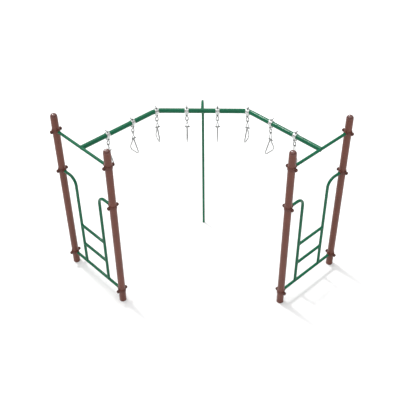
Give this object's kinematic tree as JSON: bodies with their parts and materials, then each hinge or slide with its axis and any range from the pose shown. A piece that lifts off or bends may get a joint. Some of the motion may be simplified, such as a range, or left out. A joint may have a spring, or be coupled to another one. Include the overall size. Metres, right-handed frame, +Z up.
{
  "type": "monkey bars",
  "caption": "Overhead ring ladder: two brown post frames with green ladders, a bent green overhead beam on a back pole, and swinging triangular rings.",
  "frame": {"origin": "on the ground, at the middle of the footprint's box", "axes": "+X across both end frames, +Y towards the support pole behind the beam, +Z up"},
  "size_m": [3.5754, 1.6098, 2.371],
  "materials": {
    "brown_paint": "brown powder coat, semi-gloss",
    "cap_metal": "brown powder-coated cast dome, glossy",
    "green_paint": "green powder coat, semi-gloss",
    "galvanised_casting": "hot-dip galvanised ductile iron, matt",
    "zinc_steel": "zinc-plated steel",
    "galvanised_rod": "galvanised bent steel rod"
  },
  "bodies": {
    "root": {"post_back_left": "brown_paint", "post_front_left": "brown_paint", "post_back_right": "brown_paint", "post_front_right": "brown_paint", "cap_back_left": "cap_metal", "cap_front_left": "cap_metal", "cap_back_right": "cap_metal", "cap_front_right": "cap_metal", "collars_back_left": "brown_paint", "collars_front_left": "brown_paint", "collars_back_right": "brown_paint", "collars_front_right": "brown_paint", "collar_bolts": "brown_paint", "collar_nuts": "brown_paint", "crossbar_left": "green_paint", "crossbar_right": "green_paint", "ladder_left": "green_paint", "ladder_right": "green_paint", "overhead_beam": "green_paint", "support_pole": "green_paint", "clamp_fronts": "galvanised_casting", "clamp_backs": "galvanised_casting", "clamp_bolts": "zinc_steel", "pivot_bolts": "zinc_steel", "clamp_nuts": "zinc_steel"},
    "swing_eye_1": {"swing_eye_1": "galvanised_casting"},
    "shackle_1": {"shackle_1": "galvanised_casting", "cross_bolt_1": "zinc_steel"},
    "ring_1": {"ring_1": "galvanised_rod"},
    "swing_eye_2": {"swing_eye_2": "galvanised_casting"},
    "shackle_2": {"shackle_2": "galvanised_casting", "cross_bolt_2": "zinc_steel"},
    "ring_2": {"ring_2": "galvanised_rod"},
    "swing_eye_3": {"swing_eye_3": "galvanised_casting"},
    "shackle_3": {"shackle_3": "galvanised_casting", "cross_bolt_3": "zinc_steel"},
    "ring_3": {"ring_3": "galvanised_rod"},
    "swing_eye_4": {"swing_eye_4": "galvanised_casting"},
    "shackle_4": {"shackle_4": "galvanised_casting", "cross_bolt_4": "zinc_steel"},
    "ring_4": {"ring_4": "galvanised_rod"},
    "swing_eye_5": {"swing_eye_5": "galvanised_casting"},
    "shackle_5": {"shackle_5": "galvanised_casting", "cross_bolt_5": "zinc_steel"},
    "ring_5": {"ring_5": "galvanised_rod"},
    "swing_eye_6": {"swing_eye_6": "galvanised_casting"},
    "shackle_6": {"shackle_6": "galvanised_casting", "cross_bolt_6": "zinc_steel"},
    "ring_6": {"ring_6": "galvanised_rod"},
    "swing_eye_7": {"swing_eye_7": "galvanised_casting"},
    "shackle_7": {"shackle_7": "galvanised_casting", "cross_bolt_7": "zinc_steel"},
    "ring_7": {"ring_7": "galvanised_rod"},
    "swing_eye_8": {"swing_eye_8": "galvanised_casting"},
    "shackle_8": {"shackle_8": "galvanised_casting", "cross_bolt_8": "zinc_steel"},
    "ring_8": {"ring_8": "galvanised_rod"}
  },
  "joints": [
    {"name": "swing_eye_1_pivot", "type": "hinge", "parent": "root", "child": "swing_eye_1", "pos_m": [-1.1006, -0.11786, 2.078], "axis": [-0.7071, 0.7071, 0], "range_deg": [-60, 60]},
    {"name": "shackle_1_pivot", "type": "hinge", "parent": "swing_eye_1", "child": "shackle_1", "pos_m": [-1.1006, -0.11786, 1.9925], "axis": [0.7071, 0.7071, 0], "range_deg": [-40, 40]},
    {"name": "ring_1_pivot", "type": "hinge", "parent": "shackle_1", "child": "ring_1", "pos_m": [-1.1006, -0.11786, 1.9025], "axis": [0.7071, 0.7071, 0], "range_deg": [-60, 60]},
    {"name": "swing_eye_2_pivot", "type": "hinge", "parent": "root", "child": "swing_eye_2", "pos_m": [-0.83355, 0.14919, 2.078], "axis": [-0.7071, 0.7071, 0], "range_deg": [-60, 60]},
    {"name": "shackle_2_pivot", "type": "hinge", "parent": "swing_eye_2", "child": "shackle_2", "pos_m": [-0.83355, 0.14919, 1.9925], "axis": [0.7071, 0.7071, 0], "range_deg": [-40, 40]},
    {"name": "ring_2_pivot", "type": "hinge", "parent": "shackle_2", "child": "ring_2", "pos_m": [-0.83355, 0.14919, 1.9025], "axis": [0.7071, 0.7071, 0], "range_deg": [-60, 60]},
    {"name": "swing_eye_3_pivot", "type": "hinge", "parent": "root", "child": "swing_eye_3", "pos_m": [-0.56019, 0.40101, 2.078], "axis": [-0.3827, 0.9239, 0], "range_deg": [-60, 60]},
    {"name": "shackle_3_pivot", "type": "hinge", "parent": "swing_eye_3", "child": "shackle_3", "pos_m": [-0.56019, 0.40101, 1.9925], "axis": [0.9239, 0.3827, 0], "range_deg": [-40, 40]},
    {"name": "ring_3_pivot", "type": "hinge", "parent": "shackle_3", "child": "ring_3", "pos_m": [-0.56019, 0.40101, 1.9025], "axis": [0.9239, 0.3827, 0], "range_deg": [-60, 60]},
    {"name": "swing_eye_4_pivot", "type": "hinge", "parent": "root", "child": "swing_eye_4", "pos_m": [-0.18883, 0.41624, 2.078], "axis": [0, 1, 0], "range_deg": [-60, 60]},
    {"name": "shackle_4_pivot", "type": "hinge", "parent": "swing_eye_4", "child": "shackle_4", "pos_m": [-0.18883, 0.41624, 1.9925], "axis": [1, 0, 0], "range_deg": [-40, 40]},
    {"name": "ring_4_pivot", "type": "hinge", "parent": "shackle_4", "child": "ring_4", "pos_m": [-0.18883, 0.41624, 1.9025], "axis": [1, 0, 0], "range_deg": [-60, 60]},
    {"name": "swing_eye_5_pivot", "type": "hinge", "parent": "root", "child": "swing_eye_5", "pos_m": [0.18883, 0.41624, 2.078], "axis": [0, 1, 0], "range_deg": [-60, 60]},
    {"name": "shackle_5_pivot", "type": "hinge", "parent": "swing_eye_5", "child": "shackle_5", "pos_m": [0.18883, 0.41624, 1.9925], "axis": [1, 0, 0], "range_deg": [-40, 40]},
    {"name": "ring_5_pivot", "type": "hinge", "parent": "shackle_5", "child": "ring_5", "pos_m": [0.18883, 0.41624, 1.9025], "axis": [1, 0, 0], "range_deg": [-60, 60]},
    {"name": "swing_eye_6_pivot", "type": "hinge", "parent": "root", "child": "swing_eye_6", "pos_m": [0.56019, 0.40101, 2.078], "axis": [0.3827, 0.9239, 0], "range_deg": [-60, 60]},
    {"name": "shackle_6_pivot", "type": "hinge", "parent": "swing_eye_6", "child": "shackle_6", "pos_m": [0.56019, 0.40101, 1.9925], "axis": [0.9239, -0.3827, 0], "range_deg": [-40, 40]},
    {"name": "ring_6_pivot", "type": "hinge", "parent": "shackle_6", "child": "ring_6", "pos_m": [0.56019, 0.40101, 1.9025], "axis": [0.9239, -0.3827, 0], "range_deg": [-60, 60]},
    {"name": "swing_eye_7_pivot", "type": "hinge", "parent": "root", "child": "swing_eye_7", "pos_m": [0.83355, 0.14919, 2.078], "axis": [0.7071, 0.7071, 0], "range_deg": [-60, 60]},
    {"name": "shackle_7_pivot", "type": "hinge", "parent": "swing_eye_7", "child": "shackle_7", "pos_m": [0.83355, 0.14919, 1.9925], "axis": [0.7071, -0.7071, 0], "range_deg": [-40, 40]},
    {"name": "ring_7_pivot", "type": "hinge", "parent": "shackle_7", "child": "ring_7", "pos_m": [0.83355, 0.14919, 1.9025], "axis": [0.7071, -0.7071, 0], "range_deg": [-60, 60]},
    {"name": "swing_eye_8_pivot", "type": "hinge", "parent": "root", "child": "swing_eye_8", "pos_m": [1.1006, -0.11786, 2.078], "axis": [0.7071, 0.7071, 0], "range_deg": [-60, 60]},
    {"name": "shackle_8_pivot", "type": "hinge", "parent": "swing_eye_8", "child": "shackle_8", "pos_m": [1.1006, -0.11786, 1.9925], "axis": [0.7071, -0.7071, 0], "range_deg": [-40, 40]},
    {"name": "ring_8_pivot", "type": "hinge", "parent": "shackle_8", "child": "ring_8", "pos_m": [1.1006, -0.11786, 1.9025], "axis": [0.7071, -0.7071, 0], "range_deg": [-60, 60]}
  ]
}
